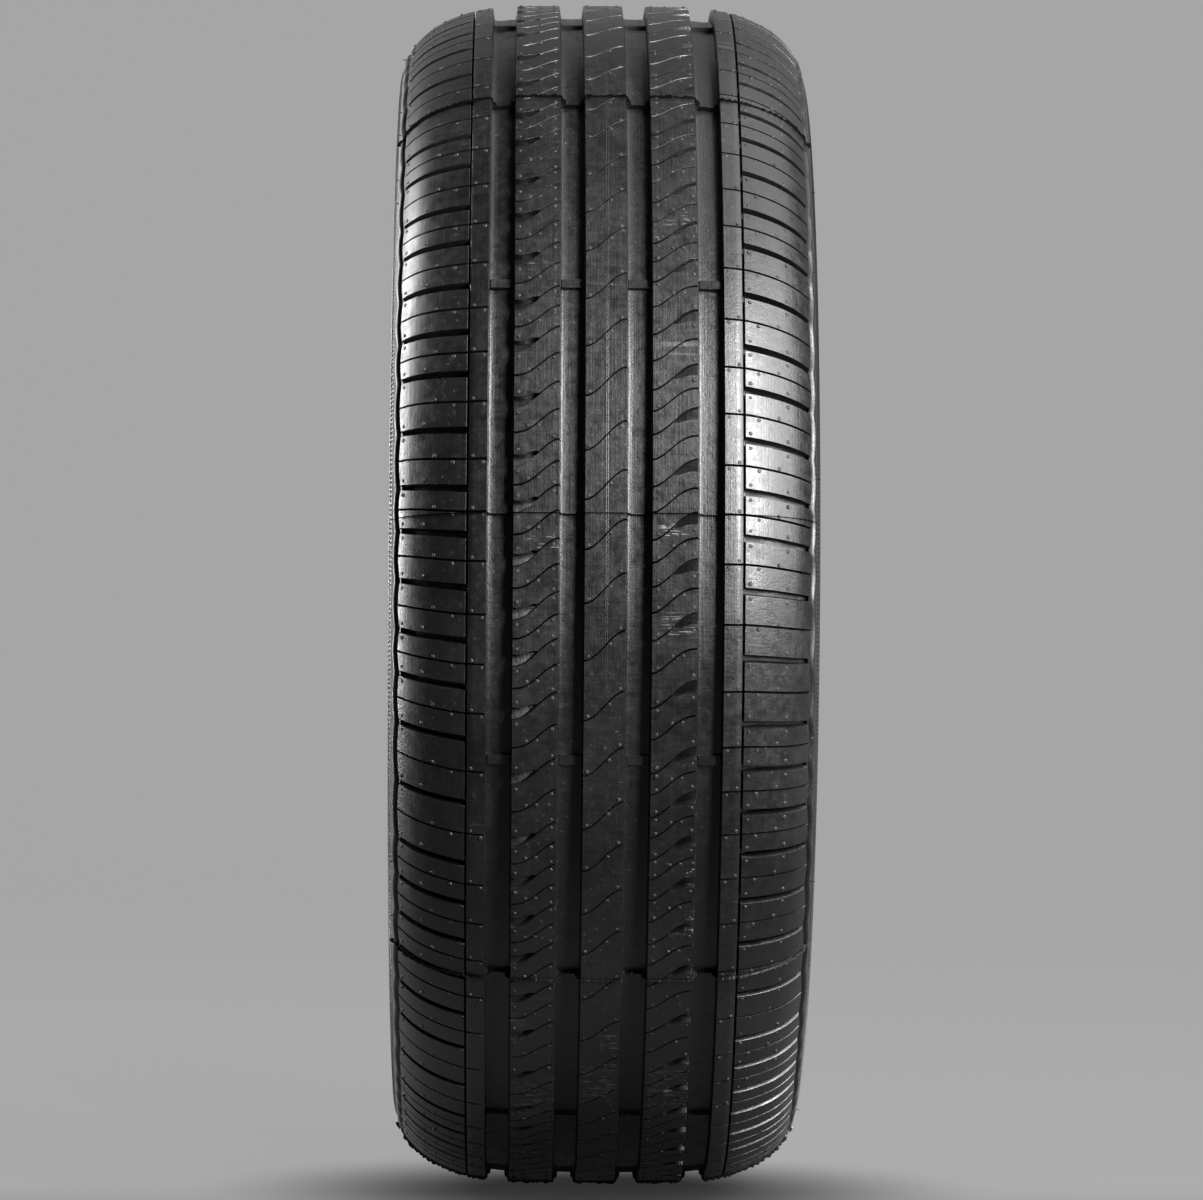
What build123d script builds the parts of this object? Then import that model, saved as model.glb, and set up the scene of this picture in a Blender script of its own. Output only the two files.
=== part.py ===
from build123d import *
from math import cos, radians, sin
import os

os.makedirs("parts", exist_ok=True)

# A new car tyre, size 205/55 R16, not on a rim, standing upright. The axle runs along Y and the
# origin is the wheel's centre. The side of the tread that is seen first faces +X.
# An inset is measured in from the widest place of the side wall, a drop down from the tread's crown,
# and a height up from the bead seat.

# Overall size
TREAD_R = 316.0
WIDTH = 214.0
BEAD_R = 202.8
BEAD_SPAN = 165.0
BEAD_LAND = 15.5

# The side wall below its widest place, as inset and height, and the liner inside it
WALL_TURN = [(0.0, 47.2), (3.5, 34.7), (11.0, 23.7), (21.5, 15.2)]
WALL_THICKNESS = 7.8
LINER_FOOT_HEIGHT = 43.2
LINER_TOP_DROP = 34.0
LINER_CROWN_INSET = 22.5
LINER_CROWN_DROP = 18.5

# Four main grooves and two narrow ones, as distances from the tread's middle line
INNER_GROOVE = (10.2, 22.9)
OUTER_GROOVE = (45.2, 58.2)
NARROW_GROOVE = (67.1, 68.5)
GROOVE_DEPTH = 8.0
GROOVE_DRAFT = 2.1
NARROW_DEPTH = 6.0

# The crown falls away towards the shoulders: the drops at each rib's inner and outer edge
MIDDLE_RIB_DROP = (0.2, 1.0)
SHOULDER_RIB_DROP = (1.8, 3.4)

# A shoulder block has a top and a bevel, as inset and drop, and below its edge the side wall begins
BLOCK_DROP = 3.7
BLOCK_BEND = (19.0, 10.7)
BLOCK_EDGE = (4.4, 27.9)
WALL_START = (-2.0, 52.0)

# Slots between the shoulder blocks run out on the bevel
SLOT_WIDTH = 3.6
SLOT_SLANT = 6.0
SLOT_IN_DROP = 8.0
SLOT_OUT = (2.0, 28.6)
SLOT_MIDDLE = 85.0
SLOT_LAP = 0.1

# Spare height that the tread is cut out of, and how far two cuts overlap
SPARE = 3.0
BLOCK_LAP = (0.5, 0.2)

# Block lengths round the tread, in four sizes that break up the road noise
LENGTH = {"S": 0.83, "M": 0.95, "L": 1.07, "X": 1.20}
ORDER = "XLLSLSMMSLLSMMSMXXSSSMMXXSSSMM" + "XLSSMLLSMMSXXSSMLSMMSLLSMXXSSMMSLLSMMSLXSSMM"
FIRST_SLOT = -64.9
SIDE_SHIFT = -12.9


def groove(edges, drop):
    """The corners of a main groove from its inner rib edge to the end of its floor."""
    floor = TREAD_R - GROOVE_DEPTH - drop * 0.8
    return [(edges[0], TREAD_R - drop), (edges[0] + GROOVE_DRAFT, floor), (edges[1] - GROOVE_DRAFT, floor)]


def shoulder(place):
    """A point of the shoulder from its inset and drop."""
    return (WIDTH / 2 - place[0], TREAD_R - place[1])


def mirrored(points):
    """The same points on the other side of the middle line, in reverse order."""
    return [(-across, radius) for across, radius in reversed(points)]


def ring(loop, corners):
    """A ring about the axle with this closed section, straight from each corner angle to the next."""
    sides = []
    for start, end in zip(corners, corners[1:] + [corners[0] + 360]):
        for a, b in zip(loop, loop[1:] + loop[:1]):
            spots = [(start, a), (end, a), (end, b), (start, b)]
            points = [(r * cos(radians(t)), y, -r * sin(radians(t))) for t, (y, r) in spots]
            sides.append(Face(Wire.make_polygon([Vector(*p) for p in points])))
    return Solid(Shell(sides))


# The casing: side walls, beads and liner, with a square crown that the tread is cut into
crown = TREAD_R + SPARE
liner_side = WIDTH / 2 - WALL_THICKNESS
half = [(WIDTH / 2, crown)] + [(WIDTH / 2 - inset, BEAD_R + height) for inset, height in WALL_TURN]
half += [(BEAD_SPAN / 2, BEAD_R), (BEAD_SPAN / 2 - BEAD_LAND, BEAD_R)]
half += [(liner_side, BEAD_R + LINER_FOOT_HEIGHT), (liner_side, TREAD_R - LINER_TOP_DROP)]
half += [(WIDTH / 2 - LINER_CROWN_INSET, TREAD_R - LINER_CROWN_DROP)]
casing = revolve(Plane.YZ * make_face(Polyline(*half, *mirrored(half), close=True)), Axis.Y)

# Slot angles on the left shoulder, one after each block. The right shoulder has the same order, shifted.
unit = 360.0 / sum(LENGTH[letter] for letter in ORDER)
left_angles = [FIRST_SLOT]
for letter in ORDER[:-1]:
    left_angles.append(left_angles[-1] + LENGTH[letter] * unit)
right_angles = [angle + SIDE_SHIFT for angle in left_angles]

# The tread's section from the middle to the narrow groove, then the shoulder block's
narrow_r = TREAD_R - SHOULDER_RIB_DROP[1]
ribs = groove(INNER_GROOVE, 0.0) + [(INNER_GROOVE[1], TREAD_R - MIDDLE_RIB_DROP[0])]
ribs += groove(OUTER_GROOVE, MIDDLE_RIB_DROP[1]) + [(OUTER_GROOVE[1], TREAD_R - SHOULDER_RIB_DROP[0])]
ribs += [(NARROW_GROOVE[0], narrow_r), (NARROW_GROOVE[1], narrow_r - NARROW_DEPTH)]
block_r = TREAD_R - BLOCK_DROP
block = [(NARROW_GROOVE[1], block_r), shoulder(BLOCK_BEND), shoulder(BLOCK_EDGE), shoulder(WALL_START)]
block_start = (NARROW_GROOVE[1] - BLOCK_LAP[0], block_r + BLOCK_LAP[1])
outer = crown + 2 * SPARE

# All the space outside the left block and the ribs, and the space outside the right block
side = block[-1][0]
tread_loop = mirrored(ribs + block) + ribs
tread_loop += [(NARROW_GROOVE[1], outer), (-side, outer)]
block_loop = [block_start] + block[1:] + [(side, outer), (block_start[0], outer)]
plain = casing - ring(tread_loop, left_angles) - ring(block_loop, right_angles)

# One slot at the front of the tyre, with flat walls and a flat floor, open to the narrow groove
slot_start = NARROW_GROOVE[0] - SLOT_LAP
slot_end, slot_end_r = shoulder(SLOT_OUT)
slot_r = TREAD_R - SLOT_IN_DROP
profile = [(crown, slot_start), (slot_r, slot_start), (slot_end_r, slot_end), (crown, slot_end)]
straight = extrude(make_face(Polyline(*profile, close=True)), amount=SLOT_WIDTH / 2, both=True)
pivot = Pos(0, SLOT_MIDDLE, 0)
slanted = pivot * Rot(-SLOT_SLANT, 0, 0) * pivot.inverse() * straight
inner_end = Pos(0, NARROW_GROOVE[1] - SLOT_LAP - TREAD_R / 2, 0) * Box(3 * TREAD_R, TREAD_R, TREAD_R)
right_slot = slanted - inner_end
left_slot = Rot(180, 0, 0) * right_slot

slots = [Rot(0, angle, 0) * left_slot for angle in left_angles]
slots += [Rot(0, angle, 0) * right_slot for angle in right_angles]
tyre = plain - slots

export_step(tyre, "parts/tyre.step")
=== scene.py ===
import math
import bpy
import numpy as np
from mathutils import Matrix, Vector


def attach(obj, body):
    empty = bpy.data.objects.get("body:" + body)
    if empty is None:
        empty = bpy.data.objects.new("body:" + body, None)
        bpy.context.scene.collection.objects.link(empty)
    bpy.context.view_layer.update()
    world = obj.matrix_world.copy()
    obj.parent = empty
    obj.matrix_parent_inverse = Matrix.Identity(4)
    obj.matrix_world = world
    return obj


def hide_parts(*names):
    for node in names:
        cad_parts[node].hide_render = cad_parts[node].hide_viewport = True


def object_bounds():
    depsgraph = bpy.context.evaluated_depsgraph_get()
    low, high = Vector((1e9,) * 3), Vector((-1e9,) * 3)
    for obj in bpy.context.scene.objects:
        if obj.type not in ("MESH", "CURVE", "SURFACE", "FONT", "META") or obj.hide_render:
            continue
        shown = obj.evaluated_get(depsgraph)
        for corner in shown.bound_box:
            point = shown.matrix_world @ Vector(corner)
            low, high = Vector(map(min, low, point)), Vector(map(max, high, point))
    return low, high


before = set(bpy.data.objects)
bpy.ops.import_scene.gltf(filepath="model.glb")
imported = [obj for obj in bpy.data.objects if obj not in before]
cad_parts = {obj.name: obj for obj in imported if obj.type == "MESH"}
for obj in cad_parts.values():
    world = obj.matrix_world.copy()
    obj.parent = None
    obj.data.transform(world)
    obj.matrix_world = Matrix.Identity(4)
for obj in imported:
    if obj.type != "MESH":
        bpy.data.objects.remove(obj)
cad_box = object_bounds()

# The tyre is one piece of black rubber, moulded with its tread, side walls, beads and liner. Across the
# tread lie a left shoulder, five ribs and a right shoulder, parted by four wide grooves and two narrow
# ones. The skin is made rib by rib from rows of points that dip into each cut on the way round.
MM = 0.001
CROWN_R = 315.0
CROWN_SLOPES = [
    (0.0, 0.0), (10.0, 0.3), (22.9, 0.8), (45.2, 2.2), (52.0, 5.0), (58.2, 7.4), (63.0, 9.8), (67.8, 12.8),
    (72.0, 17.0), (75.0, 19.6), (82.0, 25.3), (86.0, 29.0), (90.0, 34.3), (93.5, 40.6), (97.5, 48.5),
    (101.0, 57.0), (103.0, 63.5), (105.5, 71.0), (110.0, 78.0),
]
CROWN_STEP = 0.05
BLOCK_LENGTHS = {"S": 0.83, "M": 0.95, "L": 1.07, "X": 1.20}
BLOCK_ORDER = "XLLSLSMMSLLSMMSMXXSSSMMXXSSSMMXLSSMLLSMMSXXSSMLSMMSLLSMXXSSMMSLLSMMSLXSSMM"
FIRST_LEFT_SLOT = math.radians(-64.5)
RIGHT_SLOT_SHIFT = math.radians(-13.6)
TURN = 2 * math.pi


def smooth_through(knots, at):
    """Heights of a smooth curve through the knots, at the given places."""
    place, height = np.array(knots, float).T
    slope = np.gradient(height, place)
    i = np.clip(np.searchsorted(place, at) - 1, 0, len(place) - 2)
    gap = place[i + 1] - place[i]
    t = (at - place[i]) / gap
    start = (1 + 2 * t) * (1 - t) ** 2 * height[i] + t * (1 - t) ** 2 * gap * slope[i]
    end = t * t * (3 - 2 * t) * height[i + 1] + t * t * (t - 1) * gap * slope[i + 1]
    return start + end


crown_places = np.arange(0.0, CROWN_SLOPES[-1][0], CROWN_STEP)
crown_tilts = np.tan(np.radians(smooth_through(CROWN_SLOPES, crown_places)))
crown_drops = np.concatenate([[0.0], np.cumsum((crown_tilts[1:] + crown_tilts[:-1]) / 2 * CROWN_STEP)])


def crown(across):
    """Radius of the tread before it is cut, at a distance from its middle line."""
    return CROWN_R - np.interp(np.abs(across), crown_places, crown_drops)


def arc(length):
    """Angle that a length along the tread takes up."""
    return length / CROWN_R


def ease(t):
    """A step from 0 to 1 that starts and ends gently."""
    t = np.clip(t, 0.0, 1.0)
    return t * t * (3 - 2 * t)


def on_tread(across, radius, angle):
    """Points of the tyre, in metres. An angle of zero faces the camera and grows downwards."""
    across, radius, angle = np.broadcast_arrays(across, radius, angle)
    return MM * np.stack([radius * np.cos(angle), across, -radius * np.sin(angle)], axis=-1)


unit = TURN / sum(BLOCK_LENGTHS[letter] for letter in BLOCK_ORDER)
block_angles = np.array([BLOCK_LENGTHS[letter] * unit for letter in BLOCK_ORDER])
left_slots = FIRST_LEFT_SLOT + np.concatenate([[0.0], np.cumsum(block_angles)[:-1]])
right_slots = left_slots + RIGHT_SLOT_SHIFT

skin_points = []
skin_faces = []
tread_section = []


def add_band(across, radius, angle):
    """Adds a closed ring of rows to the skin and gives its first and last column as rings."""
    across, radius, angle = np.broadcast_arrays(across, radius, angle)
    first = sum(len(group) for group in skin_points)
    grid = first + np.arange(angle.size).reshape(angle.shape)
    after = np.roll(grid, -1, axis=0)
    skin_points.append(on_tread(across, radius, angle).reshape(-1, 3))
    quads = np.stack([grid[:, :-1], after[:, :-1], after[:, 1:], grid[:, 1:]], axis=-1)
    skin_faces.extend(quads.reshape(-1, 4).tolist())
    return (grid[:, 0], angle[:, 0]), (grid[:, -1], angle[:, -1])


def zip_rings(left, right):
    """Closes the strip between two rings whose points are spaced differently."""
    left_ids, left_angles = left
    right_ids, right_angles = right
    nearest = np.argmin(np.abs((right_angles - left_angles[0] + math.pi) % TURN - math.pi))
    right_ids = np.roll(right_ids, -nearest)
    right_angles = np.roll(right_angles, -nearest)
    right_angles = left_angles[0] + (right_angles - left_angles[0] + math.pi) % TURN - math.pi
    right_angles[1:] += TURN * (right_angles[1:] < right_angles[0])
    left_ids = np.append(left_ids, left_ids[0])
    left_angles = np.append(left_angles, left_angles[0] + TURN)
    right_ids = np.append(right_ids, right_ids[0])
    right_angles = np.append(right_angles, right_angles[0] + TURN)
    i = 0
    j = 0
    while i < len(left_ids) - 1 or j < len(right_ids) - 1:
        left_next = left_angles[i] + left_angles[i + 1] if i < len(left_ids) - 1 else math.inf
        right_next = right_angles[j] + right_angles[j + 1] if j < len(right_ids) - 1 else math.inf
        if left_next <= right_next:
            skin_faces.append([left_ids[i], left_ids[i + 1], right_ids[j]])
            i += 1
        else:
            skin_faces.append([left_ids[i], right_ids[j + 1], right_ids[j]])
            j += 1


def cut_rows(cuts, lands):
    """Angle and depth of every row round a rib. Each cut is an angle and a list of (shift, depth)."""
    angles = []
    depths = []
    following = cuts[1:] + [(cuts[0][0] + TURN, cuts[0][1])]
    for (here, rows), (there, next_rows) in zip(cuts, following):
        for shift, depth in rows:
            angles.append(here + arc(shift))
            depths.append(depth)
        last = angles[-1]
        first = there + arc(next_rows[0][0])
        for share in np.linspace(0, 1, lands + 2)[1:-1]:
            angles.append(last + (first - last) * share)
            depths.append(0.0 * depths[-1])
    return np.array(angles), np.array(depths)


# A wide groove drains water from under the tread. Its floor is hollow and rises a little to each wall, the
# walls are steep, and the edges of the ribs beside it are broken. The floor is given from the wall's foot.
GROOVE_DEPTH = 7.0
GROOVE_FLOOR = [(3.8, 0.0), (1.1, 0.1), (0.0, 0.36)]
WALL_FOOT_INSET = 0.85
WALL_TOP_INSET = 0.03
EDGE_BREAK = 0.3
EDGE_ROUND = 0.12


def groove_half(edge, middle):
    """Columns from the floor of a wide groove to the edge of the rib beside it."""
    out = math.copysign(1.0, edge - middle)
    top = float(crown(edge))
    floor = (top + float(crown(middle))) / 2 - GROOVE_DEPTH
    brink = edge + out * EDGE_ROUND
    columns = [(edge - out * (WALL_FOOT_INSET + away), floor + rise) for away, rise in GROOVE_FLOOR]
    return columns + [(edge - out * WALL_TOP_INSET, top - EDGE_BREAK), (brink, float(crown(brink)))]


# The ribs beside the middle one have a plain wavy cut and a leaf-shaped notch in turn. On the left one the
# notch opens into the outer groove. The right one is the same rib turned end for end. The upper lip of a cut
# is broken by an amount of its own on the left rib (-1), the middle rib (0) and the right rib (1).
RIB_EDGES = (22.9, 45.2)
GROOVE_MIDDLES = (16.5, 51.7)
RIB_RISE = 12.2
NOTCH_TIP = 33.0
NOTCH_SHIFT = 18.0
SIPE_WIDTH = 1.1
SIPE_DEPTH = 5.0
LIP_BREAKS = {-1: 0.06, 0: 0.08, 1: 0.17}
LIP_LEAN = 0.7
NOTCH_ABOVE = [
    (-0.2, 0.55), (0.0, 0.55), (0.07, 1.4), (0.16, 2.3), (0.46, 3.6), (0.79, 4.0), (1.0, 4.5), (1.2, 4.7),
]
NOTCH_BELOW = [(-0.2, 0.55), (0.0, 0.55), (0.12, 0.75), (0.39, 1.3), (0.79, 2.0), (1.0, 2.3), (1.2, 2.4)]
NOTCH_FLOOR_RISE = 1.6
NOTCH_FLOOR_STEP = 1.7
NOTCH_STEP_HASTE = 1.6
NOTCH_WALL = 0.4
NOTCH_WALL_SHARE = 0.4
NOTCH_RAMPS = {-1: 0.8, 1: 0.4}
NOTCH_RAMP_SHARE = 0.35
WAVE_BEND = 1.25
PLAIN_SHARE = 0.48
RIB_LANDS = np.array([-43.6, -41.4, -39.0, -36.8, -35.0, -33.9, -33.0, -30.5, -27.7, -24.9])


def rib_columns(start, lands, end):
    """Columns of a rib: one flank, the land's own columns and the other flank, as two arrays."""
    land = [(float(across), float(crown(across))) for across in lands]
    return np.array(start + land + end[::-1]).T


def gaps_after(angles):
    """Angle from each place round the tyre to the next one."""
    return np.append(angles[1:], angles[0] + TURN) - angles


def lipped_sipe(curve, width, depth, lip, lip_side):
    """A thin cut with one broken edge, the upper one for lip side -1 and the lower one for 1."""
    none = 0.0 * curve
    rows = [(none - width / 2, none), (none - width / 2 + lip, none + lip)]
    rows += [(none + LIP_LEAN * lip, none + depth), (none + width / 2, none)]
    if lip_side > 0:
        rows = [(-shift, sunk) for shift, sunk in rows[::-1]]
    return [(curve + shift, sunk) for shift, sunk in rows]


def wavy(place):
    """The wavy cut's height along the tread, on the left rib, from its groove end to the inner end."""
    t = (place + RIB_EDGES[1]) / (RIB_EDGES[1] - RIB_EDGES[0])
    return -RIB_RISE * ease(np.clip(t, 0, 1) ** WAVE_BEND)


def from_tip(place):
    """The wavy cut's height above or below the notch's tip."""
    return wavy(place) - wavy(np.array(-NOTCH_TIP))


def notch_edges(place):
    """How far the notch reaches above and below the wavy cut, on the left rib."""
    t = np.clip((-NOTCH_TIP - place) / (RIB_EDGES[1] - NOTCH_TIP), 0, 1)
    above = np.where(t > 0, smooth_through(NOTCH_ABOVE, t), SIPE_WIDTH / 2)
    below = np.where(t > 0, smooth_through(NOTCH_BELOW, t), SIPE_WIDTH / 2)
    return above, below, t


def notch(place, lip_side):
    """Rows of the notched cut on the left rib: steep walls and a floor that rises a little downwards."""
    curve = from_tip(place)
    above, below, t = notch_edges(place)
    wide = above + below
    none = 0.0 * curve
    deep = SIPE_DEPTH - NOTCH_FLOOR_RISE * ease(t)
    wall = np.minimum(NOTCH_WALL, NOTCH_WALL_SHARE * wide)
    ramp = np.minimum(NOTCH_RAMPS[lip_side], NOTCH_RAMP_SHARE * wide)
    rows = [
        (curve - above, none),
        (curve - above + wall, deep),
        (curve + below - ramp, deep - NOTCH_FLOOR_STEP * ease(NOTCH_STEP_HASTE * t)),
        (curve + below, none),
    ]
    if lip_side < 0:
        rows.insert(1, (curve - above + LIP_BREAKS[lip_side], none + LIP_BREAKS[lip_side]))
    return rows


def turned(rows):
    """The same cut on the rib that is turned end for end."""
    return [(-shift, depth) for shift, depth in rows[::-1]]


def notched_rib(slots, side):
    """Adds a notched rib, at the left for side -1 and at the right for side 1."""
    edges = [side * edge for edge in RIB_EDGES]
    flanks = [groove_half(edge, side * middle) for edge, middle in zip(edges, GROOVE_MIDDLES)]
    if side < 0:
        edges.reverse()
        flanks.reverse()
    lands = RIB_LANDS if side < 0 else -RIB_LANDS[::-1]
    across, radius = rib_columns(flanks[0], lands, flanks[1])
    place = np.clip(across, edges[0], edges[1])
    local = -side * place
    plain_rows = lipped_sipe(from_tip(local), SIPE_WIDTH, SIPE_DEPTH, LIP_BREAKS[side], side)
    notch_rows = notch(local, side)
    if side > 0:
        plain_rows = turned(plain_rows)
        notch_rows = turned(notch_rows)
    starts = slots + side * arc(NOTCH_SHIFT)
    cuts = []
    for start, gap in zip(starts, gaps_after(starts)):
        cuts.append((start, notch_rows))
        cuts.append((start + PLAIN_SHARE * gap, plain_rows))
    angles, depths = cut_rows(cuts, lands=1)
    tread_section.extend(zip(across, radius))
    return add_band(across, np.minimum(radius, crown(place) - depths), angles)


# The middle rib has one wavy cut to each block length, placed by the slots of both shoulders. Like the other
# fine cuts, it is made by a thin steel blade in the mould.
MIDDLE_EDGE = 10.2
MIDDLE_RISE = 15.0
MIDDLE_SHIFT = 6.25
MIDDLE_LANDS = [-8.4, -6.0, -3.6, -1.2, 1.2, 3.6, 6.0, 8.4]
right_of_two = np.append(left_slots[2:], left_slots[:2] + TURN) + RIGHT_SLOT_SHIFT
middle_starts = (left_slots + right_of_two) / 2 - arc(MIDDLE_SHIFT)


def middle_wave(place):
    """The wavy cut of the middle rib."""
    return -MIDDLE_RISE * ease((place + MIDDLE_EDGE) / (2 * MIDDLE_EDGE))


def middle_rib():
    """Adds the middle rib."""
    left_flank = groove_half(-MIDDLE_EDGE, -GROOVE_MIDDLES[0])
    right_flank = groove_half(MIDDLE_EDGE, GROOVE_MIDDLES[0])
    across, radius = rib_columns(left_flank, MIDDLE_LANDS, right_flank)
    place = np.clip(across, -MIDDLE_EDGE, MIDDLE_EDGE)
    rows = lipped_sipe(middle_wave(place), SIPE_WIDTH, SIPE_DEPTH, LIP_BREAKS[0], -1)
    angles, depths = cut_rows([(angle, rows) for angle in middle_starts], lands=2)
    tread_section.extend(zip(across, radius))
    return add_band(across, np.minimum(radius, crown(place) - depths), angles)


# The outermost ribs are narrow and plain, with one straight cut to each block that goes on over the narrow
# groove into the shoulder. The narrow groove's wall is given from the rib's edge, outwards and down.
OUTER_RIB = (58.2, 67.15)
NARROW_FLOOR = 4.5
NARROW_MIDDLE = 67.8
NARROW_HALF = 0.25
NARROW_FLANK = [(0.15, NARROW_FLOOR - 0.3), (0.08, 0.3), (-0.2, 0.0)]
OUTER_LANDS = [61.0, 64.0]
SHOULDER_SIPE_SHARE = 0.5
SHOULDER_SIPE_WIDTH = 1.2
SHOULDER_SIPE_DEPTH = 4.0


def sipe(curve, width, depth):
    """A thin cut along a curve, narrowing to its floor."""
    none = 0.0 * curve
    return [(curve - width / 2, none), (curve, none + depth), (curve + width / 2, none)]


def sipe_angles(slots):
    """Angles of the straight cuts, midway between the slots."""
    return slots + SHOULDER_SIPE_SHARE * gaps_after(slots)


def outer_rib(slots, side):
    """Adds the narrow rib beside a shoulder."""
    inner, outer = OUTER_RIB
    top = float(crown(outer))
    flank = groove_half(inner, GROOVE_MIDDLES[1])
    narrow = [(NARROW_MIDDLE - NARROW_HALF, top - NARROW_FLOOR)]
    narrow += [(outer + shift, top - depth) for shift, depth in NARROW_FLANK]
    across, radius = rib_columns(flank, OUTER_LANDS, narrow)
    if side < 0:
        across = -across[::-1]
        radius = radius[::-1]
    place = np.clip(np.abs(across), inner, outer)
    rows = sipe(0.0 * place, SHOULDER_SIPE_WIDTH, SHOULDER_SIPE_DEPTH)
    angles, depths = cut_rows([(angle, rows) for angle in sipe_angles(slots)], lands=1)
    tread_section.extend(zip(across, radius))
    return add_band(across, np.minimum(radius, crown(place) - depths), angles)


# A shoulder has a slot between its blocks and a thin cut down each block's middle. The slots run out into a
# wavy groove at the tread's edge, with a thin ridge outside it where the side wall begins.
SHOULDER_WALL = [(NARROW_MIDDLE + NARROW_HALF, NARROW_FLOOR), (68.15, NARROW_FLOOR - 0.3)]
SHOULDER_WALL += [(68.25, 0.3), (68.5, 0.0)]
SHOULDER_LANDS = [71.0, 75.5, 80.0, 84.0, 87.6, 91.0, 94.2, 97.2, 100.0]
EDGE_GROOVE = [(101.2, 0.0), (101.6, -1.2)]
EDGE_RIDGE = [(102.7, -1.3), (102.95, -0.35), (103.2, 0.15), (103.5, 0.38), (103.9, 0.35), (104.4, -0.25)]
EDGE_ROWS = 6
EDGE_WAVE = 0.9
EDGE_WAVE_REST = 0.6
EDGE_WAVE_START = 98.0
EDGE_WAVE_FADE = 3.0
SLOT_RUN = (68.3, 101.2)
SLOT_RISE = 3.9
SLOT_BEND = 0.45
SLOT_LIP_WIDTH = 0.12
SLOT_LIP_DEPTH = 0.25
SLOT_WALL_LEAN = 0.45
SLOT_WIDTHS = [(-1.0, 3.6), (0.0, 3.6), (0.5, 3.4), (0.8, 3.2), (1.0, 2.9), (1.1, 2.8)]
SLOT_DEPTHS = [(-1.0, 4.5), (0.0, 4.5), (0.12, 6.4), (0.5, 6.6), (0.8, 6.3), (0.94, 5.4), (1.1, 4.0)]
SIPE_END = 100.0
SIPE_FADE = 0.6


def slot_shift(place):
    """How far a slot or cut has moved along the tread at a distance from the middle."""
    s = np.maximum((place - SLOT_RUN[0]) / (SLOT_RUN[1] - SLOT_RUN[0]), 0)
    return SLOT_RISE * ((1 - SLOT_BEND) * s + SLOT_BEND * s * s)


def slot(place):
    """Rows of a shoulder slot: broken edges, steep walls and a flat floor."""
    s = (place - SLOT_RUN[0]) / (SLOT_RUN[1] - SLOT_RUN[0])
    curve = slot_shift(place)
    half = smooth_through(SLOT_WIDTHS, s) / 2
    inside = place <= SLOT_RUN[1]
    depth = np.where(inside, smooth_through(SLOT_DEPTHS, s), 0.0)
    lip = np.where(inside, SLOT_LIP_DEPTH, 0.0)
    none = 0.0 * curve
    return [
        (curve - half - SLOT_LIP_WIDTH, none),
        (curve - half, lip),
        (curve - half + SLOT_WALL_LEAN, depth),
        (curve + half - SLOT_WALL_LEAN, depth),
        (curve + half, lip),
        (curve + half + SLOT_LIP_WIDTH, none),
    ]


def shoulder_sipe(place):
    """Rows of the thin cut across a shoulder block."""
    rows = sipe(slot_shift(place), SHOULDER_SIPE_WIDTH, SHOULDER_SIPE_DEPTH)
    share = ease((SIPE_END - place) / SIPE_FADE + 0.5)
    return [(shift, depth * share) for shift, depth in rows]


def edge_wave(share):
    """How far the tread's edge swings outwards along a block, from one slot to the next."""
    return EDGE_WAVE * (np.sin(math.pi * share) - EDGE_WAVE_REST)


def edge_columns(place, relief, wave):
    """Columns of the shoulder, swung by the wave and raised or sunk square to the surface."""
    moved = place + wave[:, None] * ease((place - EDGE_WAVE_START) / EDGE_WAVE_FADE)
    steep = (crown(moved + CROWN_STEP) - crown(moved - CROWN_STEP)) / (2 * CROWN_STEP)
    length = np.sqrt(1 + steep * steep)
    return moved - relief * steep / length, crown(moved) + relief / length, moved


def add_side(side, across, radius, angles):
    """Adds a band of the right side, or of the left side with its columns the other way round."""
    if side < 0:
        return add_band(-across[:, ::-1], radius[:, ::-1], angles[:, ::-1])
    return add_band(across, radius, angles)


def shoulder(slots, side):
    """Adds the blocks of a shoulder, at the left for side -1 and at the right for side 1."""
    wall, wall_depths = zip(*SHOULDER_WALL)
    edge, edge_heights = zip(*EDGE_GROOVE)
    place = np.array([*wall, *SHOULDER_LANDS, *edge])
    sunk = np.zeros(len(place))
    sunk[:len(wall)] = wall_depths
    relief = np.zeros(len(place))
    relief[-len(edge):] = edge_heights
    cuts = []
    for slot_angle, cut_angle in zip(slots, sipe_angles(slots)):
        cuts.append((slot_angle, slot(place)))
        cuts.append((cut_angle, shoulder_sipe(place)))
    if side < 0:
        cuts = [(angle, turned(rows)) for angle, rows in cuts]
    angles, depths = cut_rows(cuts, lands=2)
    ends = np.append(slots, slots[0] + TURN)
    phase = np.interp((angles[:, 0] - slots[0]) % TURN + slots[0], ends, np.arange(len(ends))) % 1.0
    across, radius, moved = edge_columns(place, relief, edge_wave(phase))
    radius = np.minimum(radius - sunk, np.where(depths > 0, crown(moved) - depths, math.inf))
    plain = crown(place) + relief - sunk
    tread_section.extend(zip(side * place[::side], plain[::side]))
    return add_side(side, across, radius, angles)


def edge_ridge(slots, side):
    """Adds the thin wavy ridge outside a shoulder."""
    share = np.arange(EDGE_ROWS) / EDGE_ROWS
    angles = (slots[:, None] + share * gaps_after(slots)[:, None]).ravel()
    angles = angles + side * arc(slot_shift(SLOT_RUN[1]))
    place, relief = np.array(EDGE_RIDGE).T
    across, radius = edge_columns(place, relief, np.tile(edge_wave(share), len(slots)))[:2]
    tread_section.extend(zip(side * place[::side], (crown(place) + relief)[::side]))
    return add_side(side, across, radius, np.repeat(angles[:, None], len(place), axis=1))


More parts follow.
